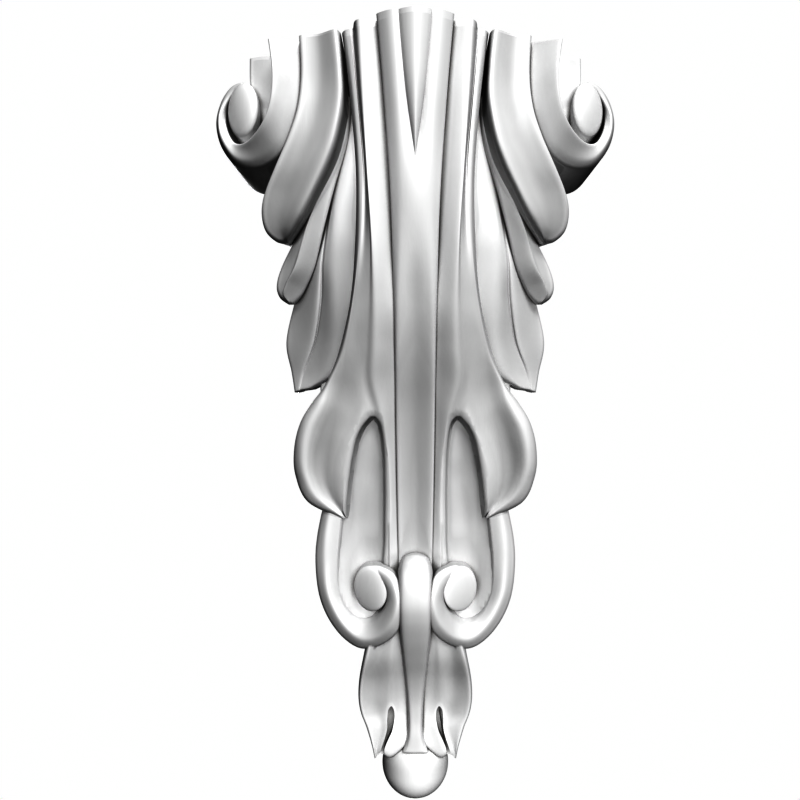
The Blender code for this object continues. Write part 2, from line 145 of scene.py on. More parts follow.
def faired(points: np.ndarray, places: np.ndarray) -> np.ndarray:
    """Points on the smooth curve through the drawn points.

    Args:
        points: The drawn points, along the first axis.
        places: Places on the curve, where 0 is the first drawn point and 1 the second.

    Returns:
        One point for each place.
    """
    ends = np.concatenate([points[:1], points, points[-1:]])
    start = np.minimum(places.astype(int), len(points) - 2)
    t = (places - start).reshape((-1,) + (1,) * (points.ndim - 1))
    a, b, c, d = (ends[start + i] for i in range(4))
    return b + 0.5 * t * ((c - a) + t * ((2 * a - 5 * b + 4 * c - d) + t * (3 * (b - c) + d - a)))


def places_between(first: np.ndarray, last: np.ndarray, count: int, steps: int, radius: float) -> np.ndarray:
    """Places along a row, evenly spaced but closer together at its two rounded ends.

    Args:
        first: Length of the first interval, in drawn millimetres.
        last: Length of the last interval.
        count: Number of drawn points in the row.
        steps: Facets between two drawn points.
        radius: Radius of the rounded edge.

    Returns:
        The places, rising from 0 to count - 1.
    """
    shares = np.array(ROUNDED_COLUMNS) * radius
    widest = EDGE_SHARES[0] if count > 2 else EDGE_SHARES[1]
    start = shares / max(first, shares[-1] / widest)
    end = count - 1 - shares[::-1] / max(last, shares[-1] / widest)
    even = np.linspace(start[-1], end[0], steps * (count - 1))
    return np.concatenate([start[:-1], even, end[1:]])


def rounded(front: np.ndarray, border: np.ndarray, radius: float) -> np.ndarray:
    """Drop the front towards its border as a quarter round.

    Args:
        front: Grid of drawn points.
        border: The grid's border in order, as drawn points.
        radius: Radius of the quarter round.

    Returns:
        The grid with its edges rounded over.
    """
    flat = front.reshape(-1, 3)
    start, end = border, np.roll(border, -1, axis=0)
    run = (end - start)[:, :2]
    length = np.maximum((run ** 2).sum(axis=1), NOUGHT)
    nearest = np.full(len(flat), np.inf)
    for begin, step, squared in zip(start[:, :2], run, length):
        away = flat[:, :2] - begin
        share = np.clip((away @ step) / squared, 0.0, 1.0)
        nearest = np.minimum(nearest, ((away - share[:, None] * step) ** 2).sum(axis=1))
    inside = np.minimum(np.sqrt(nearest), radius)
    drop = radius - np.sqrt(np.maximum(radius ** 2 - (radius - inside) ** 2, 0.0))
    result = flat.copy()
    result[:, 2] -= drop
    return result.reshape(front.shape)


def as_object(name: str, mesh: bmesh.types.BMesh) -> Shape:
    """Merge what meets at a tip, turn the faces outward and make the object.

    Args:
        name: Name of the object.
        mesh: The closed mesh, which is freed.

    Returns:
        The new object, linked to the scene.
    """
    bmesh.ops.remove_doubles(mesh, verts=mesh.verts, dist=TIP_GAP * MM)
    bmesh.ops.recalc_face_normals(mesh, faces=mesh.faces)
    data = bpy.data.meshes.new(name)
    mesh.to_mesh(data)
    mesh.free()
    made = bpy.data.objects.new(name, data)
    bpy.context.collection.objects.link(made)
    return made


def add_walls(mesh: bmesh.types.BMesh, border: list[bmesh.types.BMVert], back: np.ndarray) -> None:
    """Close a front with walls that run from its border to a flat back.

    Args:
        mesh: The mesh that holds the front.
        border: The front's border vertices, in order.
        back: Places of the back's corners, one for each border vertex.
    """
    ends = [mesh.verts.new(place) for place in back]
    for i, vertex in enumerate(border):
        j = (i + 1) % len(border)
        mesh.faces.new((vertex, border[j], ends[j], ends[i]))
    mesh.faces.new(ends)


def cut_away(target: Shape, cutter: Shape) -> None:
    """Cut one closed object out of another for good.

    Args:
        target: The object that is cut.
        cutter: The object that is cut away, which is deleted.
    """
    modifier = target.modifiers.new("Cut", "BOOLEAN")
    modifier.operation = "DIFFERENCE"
    modifier.solver = "MANIFOLD"
    modifier.object = cutter
    graph = bpy.context.evaluated_depsgraph_get()
    data = bpy.data.meshes.new_from_object(target.evaluated_get(graph))
    target.modifiers.remove(modifier)
    target.data = data
    bpy.data.objects.remove(cutter, do_unlink=True)


@dataclass(frozen=True)
class Lobe:
    """One carved lobe.

    Args:
        name: A maker's name for it.
        lines: Its drawn lines, side by side, for the right half.
        edge_radius: How far its edges are rounded over, in millimetres.
        across_middle: True where the lines are one half of a lobe on the centreline.
        tuck: How far the back of its tip is tucked under it, towards the centreline and up.
    """

    name: str
    lines: Lines
    edge_radius: float = 1.3
    across_middle: bool = False
    tuck: tuple[float, float] = (0.0, 0.0)

    # The tuck grows along the lobe as this power, so that only the tip has it.
    TUCK_POWER = 3

    def drawn(self, side: Side) -> np.ndarray:
        """The lines as an array of (station, line, axis).

        Args:
            side: The half that the lobe is for.

        Returns:
            The drawn points, mirrored where the side or the middle asks for it.
        """
        points = np.array(self.lines, dtype=float).transpose(1, 0, 2)
        mirror = np.array([-1.0, 1.0, 1.0])
        if self.across_middle:
            return np.concatenate([points[:, :0:-1] * mirror, points], axis=1)
        return points * mirror if side is Side.LEFT else points

    def build(self, block: Block, side: Side, behind: float) -> Shape:
        """Fair the front, round its edges and close it with straight walls.

        Args:
            block: The block of wood.
            side: The half that the lobe is for.
            behind: How far behind the wall plane it ends, in drawn millimetres.

        Returns:
            The closed lobe.
        """
        points = self.drawn(side)
        radius = self.edge_radius
        steps = np.linalg.norm(np.diff(points[:, :, :2], axis=0), axis=2).mean(axis=1)
        rows = faired(points, places_between(steps[0], steps[-1], len(points), ALONG, radius))
        front = []
        for row in rows:
            gaps = np.linalg.norm(np.diff(row[:, :2], axis=0), axis=1)
            front.append(faired(row, places_between(gaps[0], gaps[-1], len(row), ACROSS, radius)))
        grid = np.array(front)
        count, width = grid.shape[:2]
        order = ([(0, i) for i in range(width - 1)] + [(r, width - 1) for r in range(count - 1)]
                 + [(count - 1, i) for i in range(width - 1, 0, -1)]
                 + [(r, 0) for r in range(count - 1, 0, -1)])
        border = np.array([grid[place] for place in order])
        grid = rounded(grid, border, radius)
        mesh = bmesh.new()
        places = block.place(grid)
        vertices = [[mesh.verts.new(place) for place in row] for row in places]
        for row, following in zip(vertices, vertices[1:]):
            for a, b, c, d in zip(row, row[1:], following[1:], following):
                mesh.faces.new((a, b, c, d))
        share = np.array([(r / (count - 1)) ** self.TUCK_POWER for r, _ in order])
        back = border.copy()
        back[:, 0] -= np.sign(border[:, 0]) * self.tuck[0] * share
        back[:, 1] -= self.tuck[1] * share
        back[:, 2] = -behind
        add_walls(mesh, [vertices[r][i] for r, i in order], block.place(back))
        return as_object(f"{self.name}_{side.name.lower()}", mesh)


@dataclass(frozen=True)
class Pocket:
    """A pocket cut in from the front, with a rounded lip.

    Args:
        outline: Both sides of its outline where it meets the surface, from the top down.
        floor: How far out its floor is.
        lip_radius: Radius of the rounded lip.
        draft: How far its walls lean in.
        draft_depth: How deep the walls have leaned in by that much.
    """

    outline: Lines
    floor: float
    lip_radius: float
    draft: float
    draft_depth: float

    # Facets for each drawn point of the outline.
    OUTLINE_FACETS = 8
    # The lip turns over by this many degrees in these steps, then slopes on straight.
    LIP_STEPS = 6
    LIP_TURN = 55.0
    # How far over the surface the cutter reaches, in millimetres.
    OVER = 30.0

    def cutter(self, block: Block, side: Side) -> Shape:
        """The closed shape that is cut away.

        Args:
            block: The block of wood.
            side: The half that the pocket is in.

        Returns:
            The cutter.
        """
        left, right = (
            faired(np.array(line, dtype=float),
                   np.linspace(0, len(line) - 1, self.OUTLINE_FACETS * len(line)))
            for line in self.outline)
        border = np.concatenate([left, right[::-1]])
        along = np.roll(border, -1, axis=0) - np.roll(border, 1, axis=0)
        away = np.stack([along[:, 1], -along[:, 0]], axis=1)
        away /= np.maximum(np.linalg.norm(away, axis=1, keepdims=True), NOUGHT)
        mesh = bmesh.new()
        rings = []
        turns = [math.radians(self.LIP_TURN) * i / self.LIP_STEPS for i in range(self.LIP_STEPS + 1)]
        radius = self.lip_radius
        turned = [(radius * (math.sin(turn) - 1), radius * (1 - math.cos(turn))) for turn in turns]
        rise, flare = turned[-1]
        flare += (radius - rise) * math.tan(turns[-1])
        levels = [(-self.draft_depth, -self.draft), *turned, (radius, flare), (self.OVER, flare)]
        for rise, flare in levels:
            ring = border.copy()
            ring[:, :2] += away * flare
            ring[:, 2] += rise
            ring[:, 0] *= side.value
            rings.append([mesh.verts.new(place) for place in block.place(ring)])
        for low, high in zip(rings, rings[1:]):
            for i, vertex in enumerate(low):
                j = (i + 1) % len(low)
                mesh.faces.new((vertex, low[j], high[j], high[i]))
        mesh.faces.new(rings[-1])
        inside = border[:, :2] - away * self.draft
        floor = np.column_stack([inside * (side.value, 1.0), np.full(len(border), self.floor)])
        add_walls(mesh, rings[0], block.place(floor))
        return as_object("pocket", mesh)


@dataclass(frozen=True)
class ScrollEye:
    """The round end of a scroll: a low tilted dome with straight sides.

    Args:
        centre: Its centre, across and down.
        half_width: Half its width.
        half_height: Half its height.
        outer_side: How far out its outer side stands.
        inner_side: How far out its inner side stands.
        crown: How far its crown stands over them.
    """

    centre: tuple[float, float]
    half_width: float
    half_height: float
    outer_side: float
    inner_side: float
    crown: float

    SPOKES = 64
    RINGS = 14

    def build(self, block: Block, side: Side, behind: float) -> Shape:
        """Make the dome and its sides.

        Args:
            block: The block of wood.
            side: The half that the eye is on.
            behind: How far behind the wall plane it ends, in drawn millimetres.

        Returns:
            The closed eye.
        """
        mesh = bmesh.new()
        middle = (self.outer_side + self.inner_side) / 2
        tilt = (self.outer_side - self.inner_side) / 2
        turns = np.linspace(0, 2 * math.pi, self.SPOKES, endpoint=False)
        rings = []
        for i in range(self.RINGS):
            share = math.sin(math.pi / 2 * (i + 1) / self.RINGS)
            rise = self.crown * math.sqrt(max(0.0, 1 - share * share))
            ring = np.stack([side.value * (self.centre[0] + share * self.half_width * np.cos(turns)),
                             self.centre[1] + share * self.half_height * np.sin(turns),
                             middle + tilt * share * np.cos(turns) + rise], axis=1)
            rings.append([mesh.verts.new(place) for place in block.place(ring)])
        top = mesh.verts.new(block.place(np.array([side.value * self.centre[0], self.centre[1],
                                                   middle + self.crown])))
        for i in range(self.SPOKES):
            j = (i + 1) % self.SPOKES
            mesh.faces.new((top, rings[0][i], rings[0][j]))
            for small, large in zip(rings, rings[1:]):
                mesh.faces.new((small[i], large[i], large[j], small[j]))
        back = np.stack([side.value * (self.centre[0] + self.half_width * np.cos(turns)),
                         self.centre[1] + self.half_height * np.sin(turns),
                         np.full(self.SPOKES, -behind)], axis=1)
        add_walls(mesh, rings[-1], block.place(back))
        return as_object(f"eye_{side.name.lower()}", mesh)


def add_node(tree: bpy.types.NodeTree, kind: str, settings: dict[str, object] | None = None,
             inputs: dict[str | int, object] | None = None) -> bpy.types.Node:
    """Add a node with its settings and links.

    Args:
        tree: The node tree.
        kind: The node's type name.
        settings: Values of the node's own properties.
        inputs: Values of its sockets by name or number, or the output socket that feeds one.

    Returns:
        The new node.
    """
    node = tree.nodes.new(kind)
    for name, value in (settings or {}).items():
        setattr(node, name, value)
    for key, value in (inputs or {}).items():
        for source in (value if isinstance(value, list) else [value]):
            if isinstance(source, Socket):
                tree.links.new(source, node.inputs[key])
            else:
                node.inputs[key].default_value = source
    return node


def ranged(value: Socket, start: float, end: float, low: float = 0.0,
           high: float = 1.0) -> Socket:
    """Map a value from one range to another, held at its ends.

    Args:
        value: The output socket that gives the value.
        start: The value that gives low.
        end: The value that gives high.
        low: Result at the start.
        high: Result at the end.

    Returns:
        The output socket of the result.
    """
    return add_node(value.id_data, "ShaderNodeMapRange", inputs={
        "Value": value, "From Min": start, "From Max": end, "To Min": low, "To Max": high}).outputs["Result"]


def linear(colour: str) -> tuple[float, float, float, float]:
    """A linear colour from an sRGB hex value.

    Args:
        colour: Six hex digits.

    Returns:
        Red, green, blue and an alpha of 1.
    """
    values = [int(colour[i:i + 2], 16) / 255 for i in (0, 2, 4)]
    return (*(v / 12.92 if v <= 0.04045 else ((v + 0.055) / 1.055) ** 2.4 for v in values), 1.0)


@dataclass(frozen=True)
class SatinPaintedWood:
    """Carved close-grained hardwood under two brushed coats of satin pale grey-white paint.

    The paint is almost even in colour. It is a touch greyer in the hollows, where the paint
    gathers and where shade is painted in, and a touch lighter on the ridges, where it is worn
    and where a highlight is painted in, and the creases are painted near black as shade. The
    grain shows through as fine upright lines, and the brush leaves finer ones. The back is
    left bare. The eye sees soft, smooth wood with crisp dark joints, partly of painted shade.
    """

    # sRGB colours of the paint, of its three tints and of the bare wood.
    paint: str = "CECECE"
    # The darker grey tints the mottling and paints shade into the hollows, the lighter grey paints a
    # highlight and wear onto the ridges, and the near black paints shade into the creases.
    deeper_grey: str = "B8B8B8"
    ridge_highlight_and_wear: str = "DADADA"
    painted_crease_shade: str = "3C3A37"
    bare_light: str = "D8BE97"
    bare_dark: str = "B8966A"
    # The most of each tint that shows, from 0 to 1.
    mottled_share: float = 0.22
    hollow_shade_share: float = 0.7
    ridge_highlight_share: float = 0.8
    crease_shade_share: float = 0.9
    # How hollow or ridged a place is, of the full depth, where the tints start.
    hollow_start: float = 0.12
    # How open a crease is where the painted shade starts, and where it is darkest.
    crease_shade_range: tuple[float, float] = (0.55, 0.2)
    # Satin paint over dry bare wood, and how far the brush marks change the satin.
    roughness: float = 0.48
    roughness_spread: tuple[float, float] = (-0.03, 0.05)
    bare_roughness: float = 0.72
    specular: float = 0.35
    # Widths of one streak of grain and of one brush mark, how many times longer they
    # are than wide, and how high they stand.
    grain_width_mm: float = 1.6
    grain_stretch: float = 22.0
    grain_detail: float = 4.0
    grain_height_mm: float = 0.05
    brush_width_mm: float = 0.45
    brush_stretch: float = 40.0
    brush_detail: float = 2.0
    brush_height_mm: float = 0.02
    # Size of one patch of the mottling, how far the painted crease shade reaches, and how
    # far the paint runs round the back's edge.
    mottle_mm: float = 45.0
    crease_shade_mm: float = 5.0
    bare_edge_mm: float = 0.4

    def streaks(self, place: Socket, width_mm: float, stretch: float,
                detail: float) -> Socket:
        """Noise drawn out along the upright grain.

        Args:
            place: The object coordinates.
            width_mm: Width of one streak.
            stretch: How many times longer than wide a streak is.
            detail: How much finer noise it holds.

        Returns:
            The output socket of the noise, from 0 to 1.
        """
        scale = 1 / (width_mm * MM)
        drawn_out = add_node(place.id_data, "ShaderNodeMapping", inputs={
            "Vector": place, "Scale": (scale, scale, scale / stretch)})
        return add_node(place.id_data, "ShaderNodeTexNoise", inputs={
            "Vector": drawn_out.outputs["Vector"], "Scale": 0.5, "Detail": detail,
            "Roughness": 0.55}).outputs["Fac"]

    def material(self) -> bpy.types.Material:
        """Build the node tree.

        Returns:
            The material.
        """
        made = bpy.data.materials.new("satin_painted_carved_wood")
        made.use_nodes = True
        tree = made.node_tree
        tree.nodes.clear()
        place = add_node(tree, "ShaderNodeTexCoord").outputs["Object"]
        axes = add_node(tree, "ShaderNodeSeparateXYZ", inputs={"Vector": place}).outputs
        grain = self.streaks(place, self.grain_width_mm, self.grain_stretch, self.grain_detail)
        brush = self.streaks(place, self.brush_width_mm, self.brush_stretch, self.brush_detail)
        mottle = add_node(tree, "ShaderNodeTexNoise", inputs={
            "Vector": place, "Scale": 1 / (self.mottle_mm * MM), "Detail": 3.0}).outputs["Fac"]
        edge = self.bare_edge_mm * MM
        under_top = ranged(axes["Z"], CAD_BOX[1].z, CAD_BOX[1].z - edge)
        # Painted shade and highlight: the paint is greyer in the hollows and lighter on the ridges, and the
        # paint also gathers and wears there.
        carved = add_node(tree, "ShaderNodeAttribute", {"attribute_name": "hollow"}).outputs["Fac"]
        hollow = add_node(tree, "ShaderNodeMath", {"operation": "MULTIPLY"}, {
            0: carved, 1: under_top}).outputs["Value"]
        # Painted shade: ambient occlusion paints the creases near black, as if they were shadowed.
        open_to_air = add_node(tree, "ShaderNodeAmbientOcclusion", {"samples": 8, "only_local": True}, {
            "Distance": self.crease_shade_mm * MM}).outputs["AO"]
        tints = (
            (ranged(mottle, 0.35, 0.7, 0.0, self.mottled_share), self.deeper_grey),
            (ranged(hollow, self.hollow_start, 1.0, 0.0, self.hollow_shade_share), self.deeper_grey),
            (ranged(hollow, -self.hollow_start, -1.0, 0.0, self.ridge_highlight_share), self.ridge_highlight_and_wear),
            (ranged(open_to_air, *self.crease_shade_range, 0.0, self.crease_shade_share), self.painted_crease_shade))
        colour = linear(self.paint)
        for share, tint in tints:
            colour = add_node(tree, "ShaderNodeMix", {"data_type": "RGBA"}, {
                "Factor": share, 6: colour, 7: linear(tint)}).outputs[2]

        bare = add_node(tree, "ShaderNodeMix", {"data_type": "RGBA"}, {
            "Factor": grain, 6: linear(self.bare_dark), 7: linear(self.bare_light)}).outputs[2]
        at_back = ranged(axes["Y"], -edge, 0.0)
        colour = add_node(tree, "ShaderNodeMix", {"data_type": "RGBA"}, {
            "Factor": at_back, 6: colour, 7: bare}).outputs[2]
        smoothest, roughest = (self.roughness + spread for spread in self.roughness_spread)
        gloss = add_node(tree, "ShaderNodeMix", inputs={
            "Factor": at_back, 2: ranged(brush, 0.3, 0.7, smoothest, roughest),
            3: self.bare_roughness}).outputs[0]

        bump = add_node(tree, "ShaderNodeBump", inputs={
            "Height": grain, "Distance": self.grain_height_mm * MM, "Strength": 1.0})
        bump = add_node(tree, "ShaderNodeBump", inputs={
            "Height": brush, "Distance": self.brush_height_mm * MM, "Strength": 1.0,
            "Normal": bump.outputs["Normal"]})
        shader = add_node(tree, "ShaderNodeBsdfPrincipled", inputs={
            "Base Color": colour, "Roughness": gloss, "IOR": 1.5, "Specular IOR Level": self.specular,
            "Normal": bump.outputs["Normal"]})
        add_node(tree, "ShaderNodeOutputMaterial", inputs={"Surface": shader.outputs["BSDF"]})
        return made


@dataclass(frozen=True)
class CarvedGroup:
    """A sub-assembly of the carving: some lobes, made on the middle or on both sides.

    Args:
        on_middle: True where the lobes lie on the centreline and are made once.
    """

    on_middle: bool = False

    def lobes(self) -> tuple[Lobe, ...]:
        """The lobes of this sub-assembly, in the order they are made."""
        return ()

    def pockets(self) -> dict[str, Pocket]:
        """The pockets of this sub-assembly, by the lobe they are cut into."""
        return {}

    def eyes(self) -> tuple[ScrollEye, ...]:
        """The round scroll ends of this sub-assembly."""
        return ()

    def build(self, block: Block, behind: float) -> list[Shape]:
        """Make every closed shape of this sub-assembly.

        Args:
            block: The block of wood.
            behind: How far behind the wall plane its first lobe ends.

        Returns:
            The shapes, which the weld joins.
        """
        made = []
        sides = (Side.RIGHT,) if self.on_middle else (Side.RIGHT, Side.LEFT)
        for side in sides:
            for lobe in self.lobes():
                shape = lobe.build(block, side, behind + BEHIND_STEP * len(made))
                if lobe.name in self.pockets():
                    cut_away(shape, self.pockets()[lobe.name].cutter(block, side))
                made.append(shape)
            for eye in self.eyes():
                made.append(eye.build(block, side, behind + BEHIND_STEP * len(made)))
        return made

    def dress(self, shapes: list[Shape], finish: bpy.types.Material) -> None:
        """Give the shapes their finish, which the weld keeps.

        Args:
            shapes: The shapes of this sub-assembly.
            finish: The painted wood.
        """
        for shape in shapes:
            shape.data.materials.clear()
            shape.data.materials.append(finish)


@dataclass(frozen=True)
class Ground(CarvedGroup):
    """The plain wood behind the carving, which the lobes grow out of."""

    on_middle: bool = True
    surface: Lines = (
        ((-72, -4, 40), (-72, 25, 40), (-76, 45, 38), (-58, 75, 34), (-52, 110, 26), (-50, 150, 18),
         (-48, 175, 24), (-46, 200, 28), (-40, 245, 28), (-28, 280, 28), (-18, 310, 24), (-9, 345, 22)),
        ((72, -4, 41), (72, 25, 41), (76, 45, 39), (58, 75, 35), (52, 110, 27), (50, 150, 19), (48, 175, 25),
         (46, 200, 29), (40, 245, 29), (28, 280, 29), (18, 310, 25), (9, 345, 23)),
    )

    def lobes(self) -> tuple[Lobe, ...]:
        """The one plain slab."""
        return (Lobe("ground", self.surface),)


@dataclass(frozen=True)
class Stem(CarvedGroup):
    """The fluted stem down the middle, with the V tongue that rises in it at the top."""

    on_middle: bool = True
    band: Lines = (
        ((0, -4, 110.5), (0, 36, 110.5), (0, 79, 109.5), (0, 121, 95.3), (0, 165, 73), (0, 203, 57.5),
         (0, 243, 47.5), (0, 270, 44)),
        ((9.8, -4, 113), (7.4, 36, 111.7), (6.2, 79, 108.2), (7.4, 121, 96.6), (7.9, 165, 74.8),
         (7.9, 203, 59.8), (7.6, 243, 49.5), (7.6, 270, 46)),
        ((17, -4, 108.3), (13.5, 36, 107.5), (10.7, 79, 104.8), (9.8, 121, 93.8), (9.5, 165, 72.3),
         (9.2, 203, 57), (8.6, 243, 46.8), (8.6, 270, 43)),
    )
    tongue: Lines = (
        ((0, -4, 116), (0, 28, 115), (0, 56, 112), (0, 70, 107.5)),
        ((6, -4, 114), (3.6, 28, 113.3), (1, 56, 110.8), (0.4, 70, 107.2)),
        ((10, -4, 109.5), (6, 28, 109.3), (1.6, 56, 108.6), (0.7, 70, 106.5)),
    )

    def lobes(self) -> tuple[Lobe, ...]:
        """The broad band and the tongue on it."""
        return (Lobe("stem", self.band, 1.0, across_middle=True),
                Lobe("v_tongue", self.tongue, 1.2, across_middle=True))


@dataclass(frozen=True)
class CurledTongue(CarvedGroup):
    """The small tongue that curls out over the stem's foot and runs down to the ball."""

    on_middle: bool = True
    surface: Lines = (
        ((0, 239.4, 57), (0, 242, 63.5), (0, 249, 68.6), (0, 259.5, 69.9), (0, 268.5, 67.6), (0, 279, 62),
         (0, 290, 54.8), (0, 301.5, 47.2), (0, 313, 42.2), (0, 324, 40.2), (0, 333, 40), (0, 341.5, 39.5)),
        ((4.2, 240.3, 56), (5.5, 243.3, 61.5), (6, 249.5, 67.2), (6.2, 259.5, 68.6), (6.1, 268.5, 66.4),
         (5.7, 279, 61), (5, 290, 54), (4.2, 301.5, 46.5), (3.3, 313, 41.6), (2.8, 324, 39.7),
         (2.9, 333, 39.5), (4, 341.5, 39.3)),
        ((6.3, 241.8, 52), (8, 245.6, 56), (8.7, 251.5, 60.7), (8.6, 260, 63), (8.2, 268.5, 61.3),
         (7.6, 279, 56.5), (6.6, 290, 50), (5.5, 301.5, 43), (4.4, 313, 38.5), (3.8, 324, 36.5), (4, 333, 37),
         (6.5, 341.5, 38.5)),
    )

    def lobes(self) -> tuple[Lobe, ...]:
        """The curl."""
        return (Lobe("curl", self.surface, 1.6, across_middle=True),)


@dataclass(frozen=True)
class LongLeaf(CarvedGroup):
    """The long leaf beside the stem, with the arched pocket that opens its lower end."""

    blade: Lines = (
        ((16.3, -4, 100.5), (13, 31, 101.3), (9.8, 65, 100.3), (9, 95, 97.5), (8.8, 120, 93.5),
         (8.6, 140, 84.5), (8.4, 156, 76.5), (8.4, 170, 70), (8.2, 185, 63.8), (8, 200, 58.3), (7.8, 215, 54),
         (7.5, 232, 50), (7.3, 252, 46.7)),
        ((23.8, -4, 102.2), (21.9, 31, 104.3), (19.9, 65, 105.5), (17.9, 95, 103.5), (17, 120, 96.8),
         (17.2, 140, 88.5), (17.8, 156, 80.5), (15.2, 170, 74), (13.3, 185, 67), (12.3, 200, 61.3),
         (12, 215, 56.5), (12, 232, 52.3), (12, 252, 49)),
        ((26.8, -4, 99.2), (24.2, 31, 101.5), (21.2, 65, 103.5), (19.8, 95, 102), (20.5, 120, 95.2),
         (22, 140, 86.8), (22.5, 156, 79.3), (19, 172, 73.2), (17, 187, 66.3), (16, 200, 60.8),
         (15.5, 215, 56), (15.5, 232, 51.5), (15.5, 252, 48)),
        ((28, -4, 91.2), (25, 31, 95.5), (22, 65, 98.6), (22.2, 95, 99.5), (24.5, 120, 93.4), (27, 140, 85.2),
         (26, 160, 77.3), (24.5, 177, 72.6), (28.2, 187, 69), (31, 197, 65.2), (32.7, 207, 61),
         (33.4, 215.5, 57), (33.6, 222, 53)),
        ((29.7, -4, 90.4), (25.8, 31, 95.4), (23.2, 65, 98.5), (24, 95, 98.9), (27, 120, 92.3),
         (31, 142, 83.5), (34, 158, 75.5), (37, 170, 71.3), (41, 181, 67), (43.8, 191.5, 62.5),
         (44, 202, 58.5), (41, 211.5, 55.3), (34, 222.3, 52.8)),
        ((31.8, -4, 89), (27.4, 31, 94.5), (24.8, 65, 97.6), (25.3, 97, 97.5), (28.2, 121, 91.3),
         (33.5, 143, 82.2), (39.5, 157, 76), (44.5, 168, 73.8), (50, 179, 70.8), (52.4, 190, 67.5),
         (52, 201, 63.5), (47, 211.8, 58.7), (34.2, 222.6, 53)),
        ((33.5, -4, 86.3), (29, 31, 91.8), (26.2, 65, 95), (26.8, 98, 94), (29.5, 122, 88), (35.5, 144, 78.5),
         (42, 158, 73), (48.5, 166.5, 69.8), (54.3, 176, 66.8), (57.5, 188, 63.3), (57.4, 201, 59.3),
         (51.5, 214.5, 55.5), (34.4, 223, 52)),
    )
    arch: Pocket = Pocket(outline=(
        ((20.8, 173, 73.3), (24.6, 177.3, 72), (27.7, 183.7, 69.7), (29.9, 193, 66.2), (31.7, 203.5, 62),
         (33, 213.5, 57.7), (34, 223, 52.3), (37, 235, 48), (39, 250, 45), (39, 268, 44)),
        ((19, 173, 72.8), (16.7, 176, 71.2), (15.4, 182.6, 68.2), (14.7, 193, 63.6), (14.6, 203, 59.8),
         (14.6, 213, 56.4), (14.8, 223, 53.7), (15, 235, 51), (16, 250, 48.2), (16, 268, 46)),
    ), floor=25.0, lip_radius=2.2, draft=1.5, draft_depth=8.0)

    def lobes(self) -> tuple[Lobe, ...]:
        """The blade."""
        return (Lobe("long_leaf", self.blade, 1.6),)

    def pockets(self) -> dict[str, Pocket]:
        """The arched pocket."""
        return {"long_leaf": self.arch}


@dataclass(frozen=True)
class CuppedLeaf(CarvedGroup):
    """The cupped lower leaf, with the rim that rolls round it into a small scroll."""

    floor: Lines = (
        ((26, 164, 72), (29.5, 178, 68.5), (33, 191, 64.5), (35, 204, 57.5), (38.6, 225, 50.5),
         (39.5, 250, 49), (37.5, 278, 48)),
        ((24, 164, 70), (27, 178, 65.3), (29.5, 191, 60.5), (31, 204, 54.3), (34.5, 225, 46.4),
         (35.5, 250, 45.6), (33, 278, 46)),
        ((22, 164, 68.4), (24, 177, 63.2), (26, 191, 57.6), (27, 204, 52.2), (29.5, 225, 44.6),
         (30, 250, 41.2), (28.5, 278, 44.5)),
        ((19.5, 164, 67.5), (20.5, 176, 62.3), (21.5, 190, 56.4), (22, 204, 50.7), (24.5, 225, 43.8),
         (24.5, 250, 39.8), (23, 278, 44)),
        ((16.5, 164, 68.3), (16.5, 177, 63.3), (17, 191, 57.2), (17.5, 204, 51.9), (18, 225, 46),
         (18, 250, 42), (18, 278, 46)),
        ((13, 164, 71), (12.5, 178, 66), (12.3, 191, 60.5), (12.3, 204, 56), (12.5, 225, 50), (13, 250, 46.5),
         (13, 278, 48)),
    )
    rim: Lines = (
        ((44.5, 214, 48.5), (48, 231, 48), (49, 244.5, 47.5), (47.5, 260, 46.5), (43, 272, 46.3),
         (35.5, 281.7, 47), (26.5, 286.4, 49.5), (16.5, 283.6, 54), (8.7, 276, 60), (5.6, 265, 64.5),
         (6, 255.5, 65), (10, 248, 62), (16.5, 245, 57.5), (21.6, 245.3, 53), (24.6, 247.4, 49.5)),
        ((41, 215, 53.4), (43.3, 231, 52.8), (43.8, 244, 52), (42.5, 258, 51.8), (38.5, 268.5, 51.5),
         (32.5, 276.6, 52), (25.8, 280.2, 54.5), (18.2, 278, 58.5), (12, 271, 63.8), (9, 262.5, 67),
         (9.2, 255, 67), (12, 250, 63.5), (16.8, 247.8, 59.2), (21.5, 247.6, 54.2), (24.2, 248.5, 50)),
        ((36, 217, 52.3), (37.6, 231, 51.2), (38.6, 244, 50), (38, 258.5, 48.5), (34.5, 267.7, 48.3),
         (29.7, 273.2, 49), (24.7, 274.8, 51.5), (19.8, 272.6, 55.5), (15.4, 267, 60), (12.8, 261, 63.2),
         (12.7, 256.3, 63.4), (14, 253, 61.8), (17, 251.4, 58), (20.5, 250.4, 54), (23.6, 250, 50)),
        ((34.4, 217.2, 50.8), (36.1, 231.2, 49.2), (37, 244, 47), (36.3, 258.2, 45), (33.1, 266.9, 44.3),
         (28.9, 271.6, 44.5), (24.6, 272.6, 45), (20.8, 271, 48), (17.2, 265.9, 52), (14.8, 261.2, 56),
         (14.6, 256.8, 56.5), (16, 254.8, 55.5), (18, 253.6, 54), (20.4, 252.8, 52), (23, 252.4, 49)),
    )
    eye: ScrollEye = ScrollEye(centre=(21.5, 256.0), half_width=8.5, half_height=10.9, outer_side=48.5,
                               inner_side=60.0, crown=3.4)

    def lobes(self) -> tuple[Lobe, ...]:
        """The floor of the cup and its rolled rim."""
        return Lobe("cup", self.floor, 0.4), Lobe("cup_rim", self.rim, 1.5)

    def eyes(self) -> tuple[ScrollEye, ...]:
        """The scroll's round end."""
        return (self.eye,)


